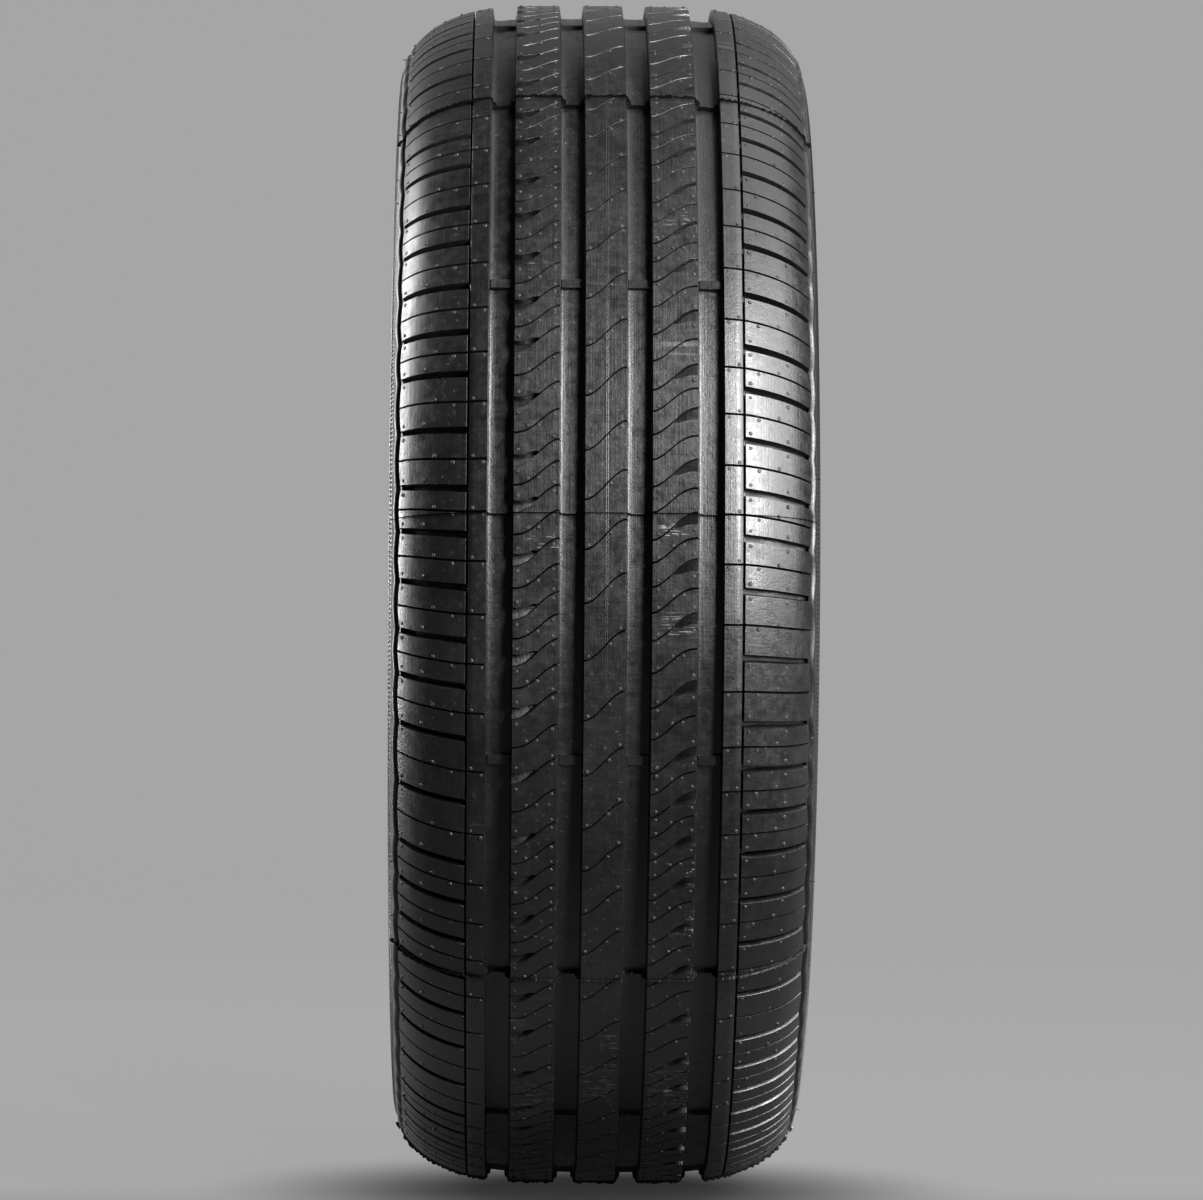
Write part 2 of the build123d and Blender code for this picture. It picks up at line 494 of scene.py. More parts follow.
# The casing goes from the right shoulder down the side wall, round the bead, along the smooth liner and up
# the other side. A fine ring runs round near the top of each wall and one above the rim, and near the bead
# are the two that show whether the tyre sits true.
CASING_ROWS = 148
WALL_TOP = [(105.0, 281.2), (105.8, 277.9), (106.35, 273.4), (106.5, 271.6)]
WALL_RING = [(106.85, 271.2), (106.85, 270.2), (106.6, 269.8)]
WALL_SECTION = [
    (106.85, 266.0), (106.95, 261.0), (106.5, 251.5), (104.6, 242.0), (102.0, 235.4), (100.6, 232.9),
]
FLANGE_RING = [(100.75, 232.2), (100.1, 231.2), (99.4, 231.0)]
WALL_FOOT = [(95.5, 226.4), (90.0, 221.4), (86.6, 217.6)]
RIM_RINGS = [(86.3, 217.2), (86.7, 216.5), (86.0, 216.1), (85.4, 215.0), (85.7, 214.4), (84.9, 213.9)]
BEAD_SECTION = [(83.6, 210.5), (82.9, 207.0), (82.4, 204.6), (81.0, 203.2), (78.5, 202.85), (69.0, 202.85)]
BEAD_SECTION += [(67.4, 203.4), (67.3, 204.9)]
LINER_SECTION = [
    (68.6, 207.4), (75.0, 215.6), (83.5, 226.2), (91.5, 236.6), (97.0, 247.5), (99.2, 260.0),
    (98.6, 272.0), (95.6, 283.5), (88.5, 292.0), (78.0, 296.0), (60.0, 297.3), (30.0, 297.5),
]


def spaced_curve(knots, count):
    """Points of a smooth curve through the knots, evenly spaced along it."""
    knots = np.array(knots, float)
    run = np.concatenate([[0.0], np.cumsum(np.hypot(*np.diff(knots, axis=0).T))])
    at = np.linspace(0, run[-1], count)
    return np.stack([smooth_through(np.stack([run, knots[:, axis]], 1), at) for axis in (0, 1)], 1)


def casing():
    """Adds the side walls, beads and liner."""
    half = WALL_TOP + WALL_RING + list(spaced_curve(WALL_SECTION, count=11)) + FLANGE_RING
    half += list(spaced_curve(WALL_FOOT, count=5)) + RIM_RINGS
    half += BEAD_SECTION + list(spaced_curve(LINER_SECTION, count=14))
    half = np.array([tuple(spot) for spot in half])
    mirrored = half[::-1] * np.array([-1.0, 1.0])
    across, radius = np.concatenate([half, mirrored]).T
    angles = left_slots[0] + np.linspace(0, TURN, CASING_ROWS, endpoint=False)
    return add_band(across, radius, np.repeat(angles[:, None], len(across), axis=1))


bands = [
    edge_ridge(left_slots, -1),
    shoulder(left_slots, -1),
    outer_rib(left_slots, -1),
    notched_rib(left_slots, -1),
    middle_rib(),
    notched_rib(right_slots, 1),
    outer_rib(right_slots, 1),
    shoulder(right_slots, 1),
    edge_ridge(right_slots, 1),
    casing(),
]
for band, neighbour in zip(bands, bands[1:] + bands[:1]):
    zip_rings(band[1], neighbour[0])


SHARP_ANGLE = math.radians(38.0)


def new_piece(name, points, faces, material):
    """A mesh object at the origin, smooth but for its sharp edges."""
    mesh = bpy.data.meshes.new(name)
    mesh.from_pydata(points, [], faces)
    mesh.materials.append(material)
    mesh.polygons.foreach_set("use_smooth", [True] * len(mesh.polygons))
    mesh.set_sharp_from_angle(angle=SHARP_ANGLE)
    piece = bpy.data.objects.new(name, mesh)
    bpy.context.scene.collection.objects.link(piece)
    return piece


class Wire:
    """An output of a node tree. Sums and products of wires add Math nodes to the tree."""

    def __init__(self, tree, socket=None):
        self.tree = tree
        self.socket = socket

    def add(self, kind, settings=None, sockets=None, output=0):
        """A new node: its type, its settings, and the values or wires of its sockets."""
        node = self.tree.nodes.new(kind)
        for name, value in (settings or {}).items():
            setattr(node, name, value)
        for name, value in (sockets or {}).items():
            if isinstance(value, Wire):
                self.tree.links.new(value.socket, node.inputs[name])
            else:
                node.inputs[name].default_value = value
        return Wire(self.tree, node.outputs[output] if node.outputs else None)

    def maths(self, operation, first, second=0.0):
        """A Math node on two values."""
        return self.add("ShaderNodeMath", {"operation": operation}, {0: first, 1: second})

    def __add__(self, other):
        return self.maths("ADD", self, other)

    def __radd__(self, other):
        return self.maths("ADD", other, self)

    def __sub__(self, other):
        return self.maths("SUBTRACT", self, other)

    def __rsub__(self, other):
        return self.maths("SUBTRACT", other, self)

    def __mul__(self, other):
        return self.maths("MULTIPLY", self, other)

    def __rmul__(self, other):
        return self.maths("MULTIPLY", other, self)

    def __truediv__(self, other):
        return self.maths("DIVIDE", self, other)

    def __rtruediv__(self, other):
        return self.maths("DIVIDE", other, self)

    def __pow__(self, other):
        return self.maths("POWER", self, other)

    def between(self, low, high):
        """0 below the low value, 1 above the high one, and a soft step between."""
        settings = {"interpolation_type": "SMOOTHSTEP"}
        return self.add("ShaderNodeMapRange", settings, {"Value": self, "From Min": low, "From Max": high})


# The tyre's rubber is black and satin as it leaves the mould, with the mould's fine turning marks. The store
# left dust on it, and scuffs on the lands in front; the lowest scuffs also lift the lower lands as painted
# light.
# A scuff's row gives its distance from the middle line and its height in millimetres, half its length and
# half its height, and how pale it is.
RUBBER_BLACK = (0.0022, 0.0022, 0.0023)
RUBBER_GREY = (0.0055, 0.0055, 0.0057)
DUST_AND_LIGHT_GREY = 0.22
DUST_STRENGTH = 0.25
RUBBED_STRENGTH = 0.18
SCUFF_AND_LIGHT_STRENGTH = 0.7
RUBBED_RADII = (0.3085, 0.3105)
SCUFF_AND_LIGHT_RADII = (0.311, 0.313)
MIDDLE_RIB_RADII = (0.3142, 0.3147)
MIDDLE_LINES_PLACE = 0.5 * MM
MIDDLE_LINES_HALF_GAP = 0.45 * MM
MIDDLE_LINES_FADE = (0.1 * MM, 0.3 * MM)
FRONT_FADE = (0.0, 0.05)
SCUFFS_AND_PAINTED_LIGHT = [
    (-32.0, 162.0, 9.0, 3.0, 0.5),
    (-30.0, 24.0, 10.0, 5.0, 0.6),
    (33.0, 31.0, 10.0, 4.0, 0.9),
    (42.0, -15.0, 16.0, 7.0, 0.7),
    (45.0, 165.0, 8.0, 2.5, 0.6),
    (36.0, 186.0, 9.0, 3.0, 0.5),
    (43.5, -138.0, 3.0, 7.0, 1.0),
    (43.5, -162.0, 3.0, 9.0, 1.0),
    # These four are pale smudges on the lower lands and, in part, painted light that lifts them.
    (-33.0, -258.0, 12.0, 16.0, 0.3),
    (0.0, -248.0, 10.0, 14.0, 0.35),
    (34.0, -252.0, 11.0, 16.0, 0.3),
    (4.0, -226.0, 6.0, 5.0, 0.4),
]


def noise(start, spot, scale, detail=2.0, roughness=0.5):
    """A noise pattern, from 0 to 1."""
    sockets = {"Vector": spot, "Scale": scale, "Detail": detail, "Roughness": roughness}
    return start.add("ShaderNodeTexNoise", {}, sockets)


def stretched(start, spot, scale):
    """The same coordinates with a scale for each axis."""
    return start.add("ShaderNodeMapping", {}, {"Vector": spot, "Scale": scale})


def blend_colour(start, mask, first, second):
    """One colour turning into another by a mask."""
    return start.add("ShaderNodeMix", {"data_type": "RGBA"}, {0: mask, 6: first, 7: second}, 2)


def grey(strength):
    """A grey of this strength."""
    return (strength, strength, strength, 1.0)


def empty_material(name):
    """A new material without nodes, and a wire that starts its tree."""
    material = bpy.data.materials.new(name)
    material.use_nodes = True
    material.node_tree.nodes.clear()
    return material, Wire(material.node_tree)


def axes_of(start, spot):
    """The three coordinates of a place on the piece, one by one."""
    split = start.add("ShaderNodeSeparateXYZ", {}, {"Vector": spot})
    return [Wire(start.tree, split.socket.node.outputs[i]) for i in range(3)]


def end_material(start, sockets):
    """Ends a material's tree with its shader."""
    shader = start.add("ShaderNodeBsdfPrincipled", {}, sockets)
    start.add("ShaderNodeOutputMaterial", {}, {"Surface": shader})


def scuff_and_light_marks(start, axes, scuffs_and_light):
    """Where the scuffs and the painted light on the lower lands are, as soft ovals seen from the front."""
    marks = None
    for across, height, half_length, half_height, strength in scuffs_and_light:
        along = 1 - ((axes[1] - across * MM) / (half_length * MM)) ** 2
        upright = 1 - ((axes[2] - height * MM) / (half_height * MM)) ** 2
        mark = along.between(0.0, 0.6) * upright.between(0.0, 0.7) * strength
        marks = mark if marks is None else start.maths("MAXIMUM", marks, mark)
    return marks * axes[0].between(*FRONT_FADE)


def moulded_rubber(name, scuffs_and_light, tone=1.0, dullness=0.34):
    """Black rubber as it leaves the mould: satin, faintly streaked and a little dusty. A tone under 1 paints
    shade.
    """
    material, start = empty_material(name)
    spot = start.add("ShaderNodeTexCoord", {}, {}, "Object")
    axes = axes_of(start, spot)
    radius = (axes[0] ** 2 + axes[2] ** 2) ** 0.5

    cloudy = noise(start, spot, scale=14.0, detail=4.0)
    grain = noise(start, spot, scale=900.0)
    specks = noise(start, spot, scale=420.0, detail=3.0, roughness=0.7)
    mottle = noise(start, spot, scale=170.0, detail=4.0, roughness=0.6)
    streaks = noise(start, stretched(start, spot, (700.0, 40.0, 700.0)), scale=1.0, detail=3.0)
    long_streaks = noise(start, stretched(start, spot, (260.0, 14.0, 260.0)), scale=1.0)
    turning_marks = noise(start, stretched(start, spot, (25.0, 1300.0, 25.0)), scale=1.0)

    off_middle = start.maths("ABSOLUTE", axes[1] - MIDDLE_LINES_PLACE)
    off_line = start.maths("ABSOLUTE", off_middle - MIDDLE_LINES_HALF_GAP)
    middle_lines = (1 - off_line.between(*MIDDLE_LINES_FADE)) * radius.between(*MIDDLE_RIB_RADII)

    dust = specks.between(0.62, 0.76) * cloudy.between(0.4, 0.65)
    rubbed = long_streaks.between(0.62, 0.76) * radius.between(*RUBBED_RADII)
    rubbed = rubbed * noise(start, spot, scale=22.0).between(0.55, 0.7)
    darkest = (*(tone * part for part in RUBBER_BLACK), 1.0)
    lightest = (*(tone * part for part in RUBBER_GREY), 1.0)
    colour = blend_colour(start, cloudy.between(0.3, 0.7), darkest, lightest)
    colour = blend_colour(start, dust * DUST_STRENGTH, colour, grey(DUST_AND_LIGHT_GREY))
    colour = blend_colour(start, rubbed * RUBBED_STRENGTH, colour, grey(DUST_AND_LIGHT_GREY))
    if scuffs_and_light:
        fine_streaks = noise(start, stretched(start, spot, (1500.0, 70.0, 1500.0)), scale=1.0)
        breaks = noise(start, spot, scale=240.0)
        scuffs_and_light_mask = scuff_and_light_marks(start, axes, scuffs_and_light) * radius.between(*SCUFF_AND_LIGHT_RADII)
        scuffs_and_light_mask = scuffs_and_light_mask * fine_streaks.between(0.52, 0.64) * breaks.between(0.42, 0.56)
        colour = blend_colour(start, scuffs_and_light_mask * SCUFF_AND_LIGHT_STRENGTH, colour, grey(DUST_AND_LIGHT_GREY))

    roughness = dullness + 0.08 * cloudy + 0.12 * (streaks - 0.5) + 0.42 * (mottle - 0.5)
    roughness = roughness + 0.12 * (turning_marks - 0.5) + 0.16 * (specks - 0.5)
    height = 0.5 * grain + 0.5 * streaks + 0.6 * specks + 0.8 * mottle + 0.4 * middle_lines
    height = height + 0.5 * turning_marks
    sockets = {"Strength": 0.3, "Distance": 0.0004, "Height": height}
    bump = start.add("ShaderNodeBump", {}, sockets)
    sockets = {"Base Color": colour, "Roughness": roughness, "Normal": bump, "Specular IOR Level": 0.5}
    end_material(start, sockets)
    return material


rubber = moulded_rubber("moulded_rubber", SCUFFS_AND_PAINTED_LIGHT)
tyre = new_piece("moulded_tyre", np.concatenate(skin_points), skin_faces, rubber)
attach(tyre, "root")
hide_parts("tyre")

# Vent stubs are the short ends of rubber left where air escaped from the mould, cut off almost flush. They
# stand in order beside the slots and cuts, about thirty to each block length. Some were cut higher, and those
# that the tyre stands on are pressed lower.
STUB_RADIUS = 1.2
STUB_TOP_SHARE = 0.55
STUB_HEIGHT = 0.38
STUB_SIDES = 10
STUB_SPREAD = (0.85, 1.05)
STUB_SEED = 5
STUB_SUNK = 0.15
TALL_STUB = 1.9
TALL_SHARE = 0.2
FLOOR_STUB = 0.8
FLOOR_CLEARANCE = 0.2
STUB_DULLNESS = 0.58
SLOT_STUBS = {
    -1: [(99.6, -3.9), (99.6, 3.7), (89.5, -3.9)],
    1: [(70.8, -3.8), (70.8, 3.8), (89.5, -3.8), (89.5, 3.8)],
}
SIPE_STUBS = {-1: [(75.0, 1.7), (84.0, -1.7)], 1: [(75.0, 1.7), (85.0, -1.7)]}
OUTER_RIB_STUBS = [(60.3, 1.7), (65.3, -1.7)]
NOTCH_STUBS = [(-43.2, -6.8), (-43.2, 4.3), (-25.6, -2.0), (-25.6, 2.4)]
PLAIN_STUBS = [(-38.2, -1.7), (-33.0, 1.8), (-25.6, 1.9)]
MIDDLE_STUBS = [(-8.3, -1.8), (2.4, 1.8), (7.4, -1.8)]


def stub_spots():
    """Distance from the middle line and angle of every vent stub."""
    spots = []
    for side, slots in ((-1, left_slots), (1, right_slots)):
        for slot_angle, cut_angle in zip(slots, sipe_angles(slots)):
            for across, shift in SLOT_STUBS[side]:
                spots.append((side * across, slot_angle + arc(side * slot_shift(across) + shift)))
            for across, shift in SIPE_STUBS[side]:
                spots.append((side * across, cut_angle + arc(side * slot_shift(across) + shift)))
            for across, shift in OUTER_RIB_STUBS:
                spots.append((side * across, cut_angle + arc(shift)))
        starts = slots + side * arc(NOTCH_SHIFT)
        gaps = gaps_after(starts)
        for cut_stubs, share in ((NOTCH_STUBS, 0.0), (PLAIN_STUBS, PLAIN_SHARE)):
            for across, shift in cut_stubs:
                along = from_tip(np.array(across)) + shift
                spots.extend((-side * across, angle) for angle in starts + share * gaps - side * arc(along))
    for across, shift in MIDDLE_STUBS:
        along = float(middle_wave(np.array(across))) + shift
        spots.extend((across, angle) for angle in middle_starts + arc(along))
    return np.array([(float(across), float(angle)) for across, angle in spots])


def standing_on(across, radius, angle, lean):
    """Place and turn of a shape that stands on the tyre, leaning outwards along the axle by an angle."""
    out = Vector((math.cos(angle), 0.0, -math.sin(angle)))
    axle = Vector((0.0, 1.0, 0.0))
    up = out * math.cos(lean) + axle * math.sin(lean)
    side = axle * math.cos(lean) - out * math.sin(lean)
    turn = Matrix((side.cross(up), side, up)).transposed().to_euler()
    return tuple(on_tread(across, radius, angle)), tuple(turn)


def grown(name, seed_mesh, sizes, copies_of, material):
    """A piece that a node tree makes from a seed mesh by repeating a shape, turned into a plain mesh."""
    piece = bpy.data.objects.new(name, seed_mesh)
    bpy.context.scene.collection.objects.link(piece)
    tree = bpy.data.node_groups.new(name, "GeometryNodeTree")
    tree.interface.new_socket("Geometry", in_out="INPUT", socket_type="NodeSocketGeometry")
    tree.interface.new_socket("Geometry", in_out="OUTPUT", socket_type="NodeSocketGeometry")
    inputs = {}
    for label in sizes:
        inputs[label] = tree.interface.new_socket(label, in_out="INPUT", socket_type="NodeSocketFloat")
    start = Wire(tree)
    size = {label: start.add("NodeGroupInput", {}, {}, label) for label in sizes}
    seed = start.add("NodeGroupInput", {}, {}, "Geometry")
    joined = start.add("GeometryNodeRealizeInstances", {}, {"Geometry": copies_of(start, seed, size)})
    finished = start.add("GeometryNodeSetMaterial", {}, {"Geometry": joined, "Material": material})
    start.add("NodeGroupOutput", {}, {"Geometry": finished})
    modifier = piece.modifiers.new(name, "NODES")
    modifier.node_group = tree
    for label, value in sizes.items():
        modifier[inputs[label].identifier] = value
    plain = bpy.data.meshes.new_from_object(piece.evaluated_get(bpy.context.evaluated_depsgraph_get()))
    piece.modifiers.clear()
    piece.data = plain
    plain.name = name
    plain.materials.clear()
    plain.materials.append(material)
    return piece


def planted(name, places, sides, sizes, material):
    """Pegs with a number of sides, at given places, turns and scales."""
    seeds = bpy.data.meshes.new(name)
    seeds.from_pydata([place for place, turn, scale in places], [], [])
    for label, column in (("turn", 1), ("scale", 2)):
        attribute = seeds.attributes.new(label, "FLOAT_VECTOR", "POINT")
        attribute.data.foreach_set("vector", np.ravel([place[column] for place in places]))

    def pegs(start, seed, size):
        """Copies of one peg, at the seeds."""
        turn = start.add("GeometryNodeInputNamedAttribute", {"data_type": "FLOAT_VECTOR"}, {"Name": "turn"})
        turn = start.add("FunctionNodeEulerToRotation", {}, {"Euler": turn})
        scale = start.add("GeometryNodeInputNamedAttribute", {"data_type": "FLOAT_VECTOR"}, {"Name": "scale"})
        sockets = {"Vertices": sides, "Radius Bottom": size["foot"], "Radius Top": size["top"]}
        sockets["Depth"] = size["height"]
        peg = start.add("GeometryNodeMeshCone", {}, sockets)
        sockets = {"Geometry": peg, "Rotation": (0.0, 0.0, math.pi / sides)}
        peg = start.add("GeometryNodeTransform", {}, sockets)
        sockets = {"Points": seed, "Instance": peg, "Rotation": turn, "Scale": scale}
        return start.add("GeometryNodeInstanceOnPoints", {}, sockets)

    return grown(name, seeds, sizes, pegs, material)


def lean_of(across):
    """How far the tread's surface leans outwards at a distance from the middle line."""
    reach = 2 * CROWN_STEP
    return -math.atan2(float(crown(across + reach) - crown(across - reach)), 2 * reach)


stub_places = []
stub_chance = np.random.default_rng(STUB_SEED)
for across, angle in stub_spots():
    radius = float(crown(across)) - STUB_SUNK
    place, turn = standing_on(across, radius, angle, lean_of(across))
    under = radius * math.sin(angle) > -cad_box[0][2] / MM - TALL_STUB * STUB_HEIGHT - FLOOR_CLEARANCE
    tall = TALL_STUB if stub_chance.random() < TALL_SHARE else 1.0
    wide = stub_chance.uniform(*STUB_SPREAD)
    stub_places.append((place, turn, (wide, wide, FLOOR_STUB if under else tall)))
stub_sizes = {"foot": STUB_RADIUS * MM, "top": STUB_TOP_SHARE * STUB_RADIUS * MM, "height": STUB_HEIGHT * MM}
cut_rubber = moulded_rubber("cut_rubber", [], dullness=STUB_DULLNESS)
stubs = planted("vent_stubs", stub_places, STUB_SIDES, stub_sizes, cut_rubber)
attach(stubs, "root")

# A few vents were not trimmed, and thin whiskers of rubber stand out at the tread's edges, of one piece with
# it. Those in front have places of their own, in degrees, and a dozen on each side are strewn behind.
WHISKER_LENGTH = 2.7
WHISKER_SHORTEST = 0.6
WHISKER_RADII = (0.4, 0.18)
WHISKER_SIDES = 6
WHISKER_LEAN = math.radians(72.0)
WHISKER_SPOT = (103.8, 285.0)
LEFT_WHISKERS = [-60.0, -55.0, -47.0, -43.5, 28.0, 34.5]
RIGHT_WHISKERS = [-45.5, -34.5, -11.5, -6.0, 30.0]
STRAY_WHISKERS = 12
STRAY_RANGE = (70.0, 285.0)
STRAY_SEED = 11

whisker_places = []
for side, front_whiskers in ((-1, LEFT_WHISKERS), (1, RIGHT_WHISKERS)):
    strays = np.random.default_rng(STRAY_SEED + side).uniform(*STRAY_RANGE, STRAY_WHISKERS)
    for degrees in front_whiskers + strays.tolist():
        lean = side * WHISKER_LEAN
        place, turn = standing_on(side * WHISKER_SPOT[0], WHISKER_SPOT[1], math.radians(degrees), lean)
        length = WHISKER_SHORTEST + (1 - WHISKER_SHORTEST) * abs(math.sin(degrees))
        whisker_places.append((place, turn, (1.0, 1.0, length)))
whisker_sizes = {"foot": WHISKER_RADII[0] * MM, "top": WHISKER_RADII[1] * MM, "height": WHISKER_LENGTH * MM}
plain_rubber = moulded_rubber("plain_rubber", [])
whiskers = planted("vent_whiskers", whisker_places, WHISKER_SIDES, whisker_sizes, plain_rubber)
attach(whiskers, "root")

# Wear bars are low bridges of rubber across the floors of the wide grooves, moulded in at eight places round
# the tyre. Tread worn down to them is due for a change. Each is a square peg 2 mm wide, stretched to size.
WEAR_BARS = 8
WEAR_ANGLE = math.radians(15.3)
WEAR_HALF = (2.7, 6.0)
WEAR_HEIGHT = 1.7
WEAR_SUNK = 0.6
WEAR_TAPER = 0.9
GROOVE_HALF = 6.4
SQUARE_SIDES = 4
SQUARE_RADIUS = math.sqrt(2) * MM

bar_places = []
for groove_middle in (-GROOVE_MIDDLES[1], -GROOVE_MIDDLES[0], *GROOVE_MIDDLES):
    edge = groove_middle - math.copysign(GROOVE_HALF, groove_middle)
    radius = float(crown(edge)) - GROOVE_DEPTH - WEAR_SUNK
    for number in range(WEAR_BARS):
        angle = WEAR_ANGLE + number * TURN / WEAR_BARS
        place, turn = standing_on(groove_middle, radius, angle, 0.0)
        bar_places.append((place, turn, (*WEAR_HALF, 1.0)))
bar_sizes = {"foot": SQUARE_RADIUS, "top": WEAR_TAPER * SQUARE_RADIUS}
bar_sizes["height"] = (WEAR_HEIGHT + WEAR_SUNK) * MM
wear_bars = planted("wear_bars", bar_places, SQUARE_SIDES, bar_sizes, plain_rubber)
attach(wear_bars, "root")

# A serrated ring of fine rubber ribs goes round each side wall, just below the shoulder, moulded with the
# rest. It hides small unevenness of the wall.
SERRATIONS = 760
SERRATION_SPOT = (105.75, 277.4)
SERRATION_HALF = (0.62, 3.6)
SERRATION_HEIGHT = 0.6
SERRATION_TAPER = 0.45
SERRATION_LEAN = math.radians(80.0)

serration_places = []
for side in (-1, 1):
    for number in range(SERRATIONS):
        angle = TURN * number / SERRATIONS
        place, turn = standing_on(side * SERRATION_SPOT[0], SERRATION_SPOT[1], angle, side * SERRATION_LEAN)
        serration_places.append((place, turn, (*SERRATION_HALF, 1.0)))
serration_sizes = {"foot": SQUARE_RADIUS, "top": SERRATION_TAPER * SQUARE_RADIUS}
serration_sizes["height"] = SERRATION_HEIGHT * MM
serrations = planted("side_serrations", serration_places, SQUARE_SIDES, serration_sizes, plain_rubber)
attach(serrations, "root")

# The mould is made of eight sectors. Where two of them met, rubber ran into the joint, and a thin fin of
# flash stands across the tread, torn on the ribs and whole in the grooves. The first step is a little longer.
# The fin's rubber is darkened as painted shade.
SEAMS = 8
SEAM_ANGLE = math.radians(-53.2)
SEAM_FIRST_STEP = math.radians(46.0)
SEAM_STEP = (TURN - SEAM_FIRST_STEP) / (SEAMS - 1)
SEAM_HEIGHT = 2.0
SEAM_TORN = (0.45, 1.0)
SEAM_WHOLE = 1.2
SEAM_SEED = 5
SEAM_GROOVE_DEPTH = 2.0
# A darker tone of the rubber paints shade on the fin.
SEAM_SHADE_TONE = 0.3
SEAM_DULLNESS = 0.22
SEAM_HALF = (0.3, 0.5)
SEAM_SUNK = 0.3
SEAM_PITCH = 1.1


def seam_fin(section):
    """One fin of flash along the tread's section, with a ragged edge."""
    section = np.array(section)
    run = np.concatenate([[0.0], np.cumsum(np.hypot(*np.diff(section, axis=0).T))])
    at = np.arange(0.0, run[-1], SEAM_PITCH)
    across = np.interp(at, run, section[:, 0])
    radius = np.interp(at, run, section[:, 1])
    way = np.stack([-np.gradient(radius), np.gradient(across)], 1)
    way /= np.hypot(way[:, 0], way[:, 1])[:, None]
    count = len(at)
    sunken = crown(across) - radius > SEAM_GROOVE_DEPTH
    ragged = np.random.default_rng(SEAM_SEED).uniform(*SEAM_TORN, count)
    height = SEAM_HEIGHT * np.where(sunken, SEAM_WHOLE, ragged)
    half = arc(np.where(sunken, SEAM_HALF[1], SEAM_HALF[0]))
    foot = (across - SEAM_SUNK * way[:, 0], radius - SEAM_SUNK * way[:, 1])
    tip = (across + height * way[:, 0], radius + height * way[:, 1])
    points = np.concatenate([on_tread(*foot, -half), on_tread(*tip, 0.0), on_tread(*foot, half)])
    faces = []
    for i in range(count - 1):
        for low, high in ((0, count), (count, 2 * count), (2 * count, 0)):
            faces.append((high + i, high + i + 1, low + i + 1, low + i))
    faces.append((2 * count, count, 0))
    faces.append((count - 1, 2 * count - 1, 3 * count - 1))
    fin = bpy.data.meshes.new("seam_fin")
    fin.from_pydata(points, [], faces)
    return fin


def round_the_tyre(start, seed, size):
    """Copies of the fin, one at each joint of the mould."""
    joints = start.add("GeometryNodeMeshLine", {}, {"Count": SEAMS, "Offset": (0.0, 0.0, 0.0)})
    number = start.add("GeometryNodeInputIndex")
    about = size["first"] + start.maths("MINIMUM", number, 1.0) * size["first step"]
    about = about + start.maths("MAXIMUM", number - 1.0, 0.0) * size["step"]
    turn = start.add("ShaderNodeCombineXYZ", {}, {"Y": about})
    turn = start.add("FunctionNodeEulerToRotation", {}, {"Euler": turn})
    sockets = {"Points": joints, "Instance": seed, "Rotation": turn}
    return start.add("GeometryNodeInstanceOnPoints", {}, sockets)


seam_sizes = {"first": SEAM_ANGLE, "first step": SEAM_FIRST_STEP, "step": SEAM_STEP}
# The fin's rubber, darkened as painted shade.
shaded_flash_rubber = moulded_rubber("shaded_flash_rubber", [], SEAM_SHADE_TONE, SEAM_DULLNESS)
seams = grown("mould_seams", seam_fin(tread_section), seam_sizes, round_the_tyre, shaded_flash_rubber)
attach(seams, "root")

# The floor is a plain sheet of pale paper that hangs behind the tyre and sweeps forward under it, as in a
# photographer's studio. It glows a little as painted light, less in front of the tyre, and a painted contact
# shadow darkens the glow most where the tyre stands.
FLOOR_HEIGHT = cad_box[0][2]
FLOOR_HALF = 6.0
FLOOR_FRONT = 9.0
SWEEP_START = -3.0
SWEEP_RADIUS = 2.0
SWEEP_STEPS = 12
SWEEP_TOP = 7.0
PAPER_GREY = 0.015
# The paper's glow is painted light. Under the tyre it falls to a painted contact shadow, an oval round where
# it stands.
GLOW_BEHIND = 0.37
GLOW_IN_FRONT = 0.06
CONTACT_SHADOW_GLOW = 0.03
GLOW_FADE = (0.0, 0.5)
CONTACT_SHADOW_PLACE = 0.06
CONTACT_SHADOW_HALF = (0.2, 0.19)
CONTACT_SHADOW_FADE = (0.3, 1.15)

sweep = [(FLOOR_FRONT, FLOOR_HEIGHT), (SWEEP_START, FLOOR_HEIGHT)]
for step in range(1, SWEEP_STEPS + 1):
    bend = math.radians(90 * step / SWEEP_STEPS)
    behind = SWEEP_START - SWEEP_RADIUS * math.sin(bend)
    sweep.append((behind, FLOOR_HEIGHT + SWEEP_RADIUS * (1 - math.cos(bend))))
sweep.append((SWEEP_START - SWEEP_RADIUS, SWEEP_TOP))
floor_points = []
for forward, height in sweep:
    floor_points.append((forward, -FLOOR_HALF, height))
    floor_points.append((forward, FLOOR_HALF, height))
floor_faces = [(2 * i, 2 * i + 1, 2 * i + 3, 2 * i + 2) for i in range(len(sweep) - 1)]


def studio_paper():
    """Pale matt paper with a faint painted glow, less in front of the tyre, and a painted contact shadow
    under it.
    """
    material, start = empty_material("pale_paper")
    spot = start.add("ShaderNodeTexCoord", {}, {}, "Object")
    forward, across = axes_of(start, spot)[:2]
    glow = blend_colour(start, forward.between(*GLOW_FADE), grey(GLOW_BEHIND), grey(GLOW_IN_FRONT))
    # The painted contact shadow: an oval round the place where the tyre stands.
    off_forward = (forward - CONTACT_SHADOW_PLACE) / CONTACT_SHADOW_HALF[0]
    off_across = across / CONTACT_SHADOW_HALF[1]
    away = (off_forward ** 2 + off_across ** 2) ** 0.5
    glow = blend_colour(start, away.between(*CONTACT_SHADOW_FADE), grey(CONTACT_SHADOW_GLOW), glow)
    sockets = {"Base Color": grey(PAPER_GREY), "Roughness": 1.0, "Specular IOR Level": 0.0}
    sockets.update({"Emission Color": glow, "Emission Strength": 1.0})
    end_material(start, sockets)
    return material


paper = studio_paper()
floor = new_piece("floor", floor_points, floor_faces, paper)

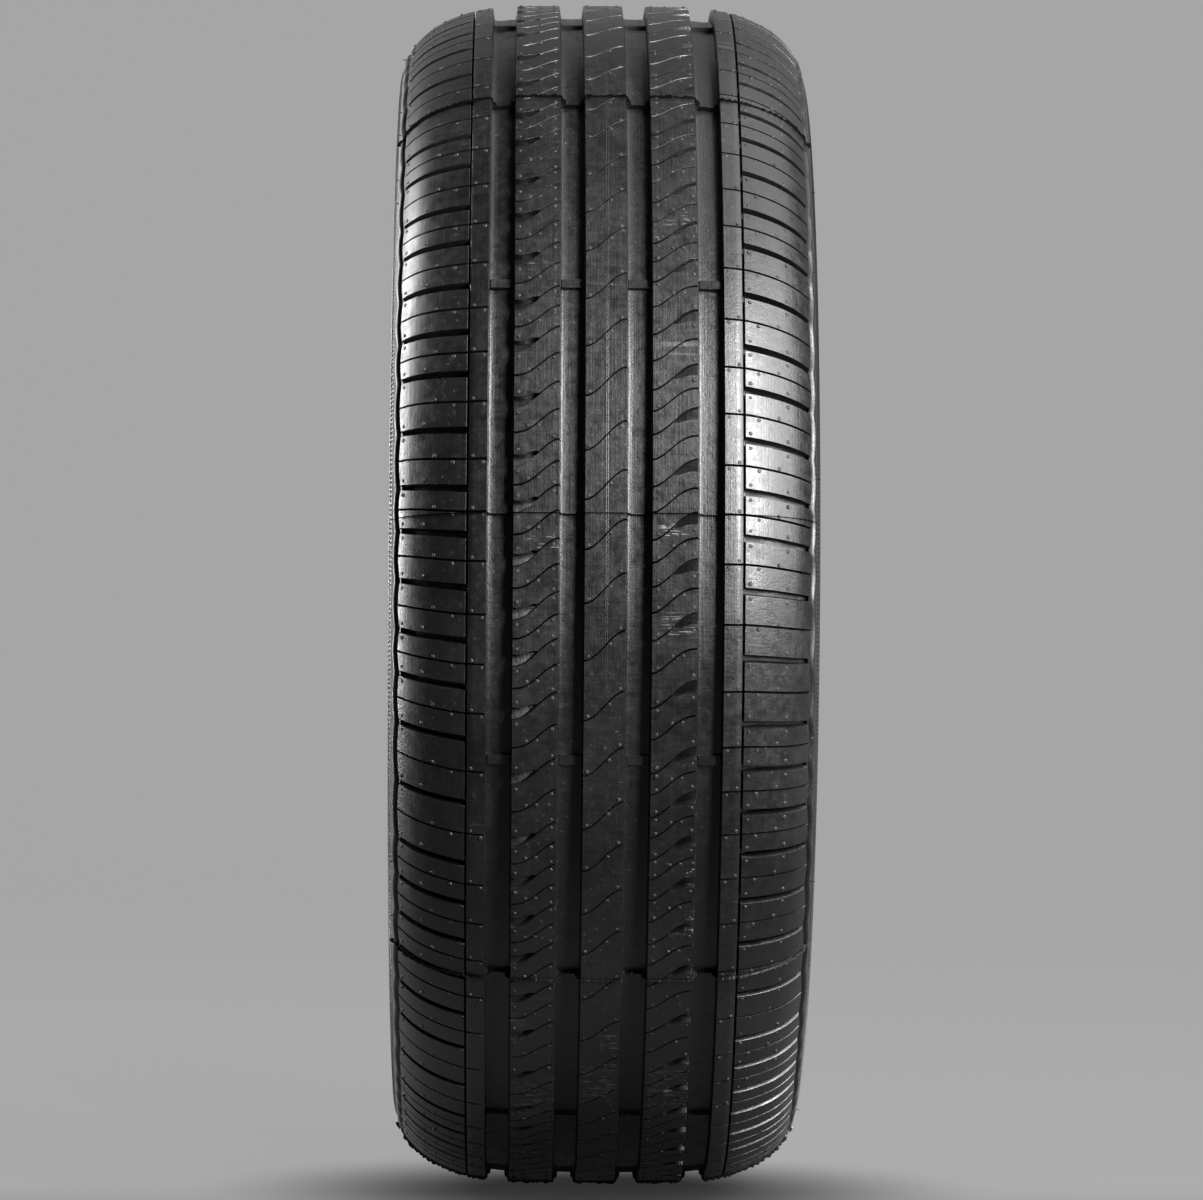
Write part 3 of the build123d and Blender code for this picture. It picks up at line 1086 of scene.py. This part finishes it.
# The lights are soft boxes on stands, each aimed at the tyre: a wide and a narrow one in front on the right,
# a tall strip and a small one behind on the left, and a wide one above. A row gives the name, the azimuth and
# elevation in degrees, the distance, width and height in metres, and the power in watts.
SOFT_BOXES = [
    ("right_box", 62, 24, 2.4, 1.5, 2.0, 106),
    ("right_inner_box", 33.5, 24, 2.4, 0.44, 1.8, 185),
    ("left_strip", -109, 15, 2.0, 0.24, 1.7, 85),
    ("left_rear_box", -140, 16, 2.0, 0.3, 0.3, 4),
    ("upper_box", 90, 62, 2.3, 2.0, 1.6, 24),
]
ROOM_LIGHT = 0.025


def soft_box(name, azimuth, elevation, distance, width, height, power):
    """An area light aimed at the tyre. The azimuth is measured from the camera side to the right."""
    light = bpy.data.lights.new(name, "AREA")
    light.shape = "RECTANGLE"
    light.size = width
    light.size_y = height
    light.energy = power
    turn = math.radians(azimuth)
    lift = math.radians(elevation)
    way = Vector((math.cos(turn) * math.cos(lift), math.sin(turn) * math.cos(lift), math.sin(lift)))
    lamp = bpy.data.objects.new(name, light)
    lamp.matrix_world = Matrix.Translation(way * distance) @ way.to_track_quat("Z", "Y").to_matrix().to_4x4()
    bpy.context.scene.collection.objects.link(lamp)


for row in SOFT_BOXES:
    soft_box(*row)

world = bpy.data.worlds.new("studio")
world.use_nodes = True
room = world.node_tree.nodes["Background"]
room.inputs["Color"].default_value = grey(1.0)
room.inputs["Strength"].default_value = ROOM_LIGHT
bpy.context.scene.world = world
bpy.context.scene.view_settings.view_transform = "Standard"

# The camera stands level with the axle, a little to the left of the tread's plane, and has a long lens. The
# lens and the picture's middle are given in pixels of the picture.
CAMERA_DISTANCE = 3.318
CAMERA_YAW = math.radians(0.688)
CAMERA_ROLL = math.radians(0.392)
FOCAL_PIXELS = 6161.0
IMAGE_WIDTH = 1203.0
IMAGE_HEIGHT = 1200.0
CENTRE_PIXEL = (597.67, 593.61)
SENSOR_WIDTH = 36.0
FARTHEST_SEEN = 100.0

lens = bpy.data.cameras.new("camera")
lens.sensor_width = SENSOR_WIDTH
lens.sensor_fit = "HORIZONTAL"
lens.lens = SENSOR_WIDTH * FOCAL_PIXELS / IMAGE_WIDTH
lens.shift_x = (IMAGE_WIDTH / 2 - CENTRE_PIXEL[0]) / IMAGE_WIDTH
lens.shift_y = (CENTRE_PIXEL[1] - IMAGE_HEIGHT / 2) / IMAGE_WIDTH
lens.clip_end = FARTHEST_SEEN
camera = bpy.data.objects.new("camera", lens)
camera_way = Vector((math.cos(CAMERA_YAW), -math.sin(CAMERA_YAW), 0.0))
camera_turn = camera_way.to_track_quat("Z", "Y").to_matrix().to_4x4() @ Matrix.Rotation(CAMERA_ROLL, 4, "Z")
camera.matrix_world = Matrix.Translation(camera_way * CAMERA_DISTANCE) @ camera_turn
bpy.context.scene.collection.objects.link(camera)
bpy.context.scene.camera = camera
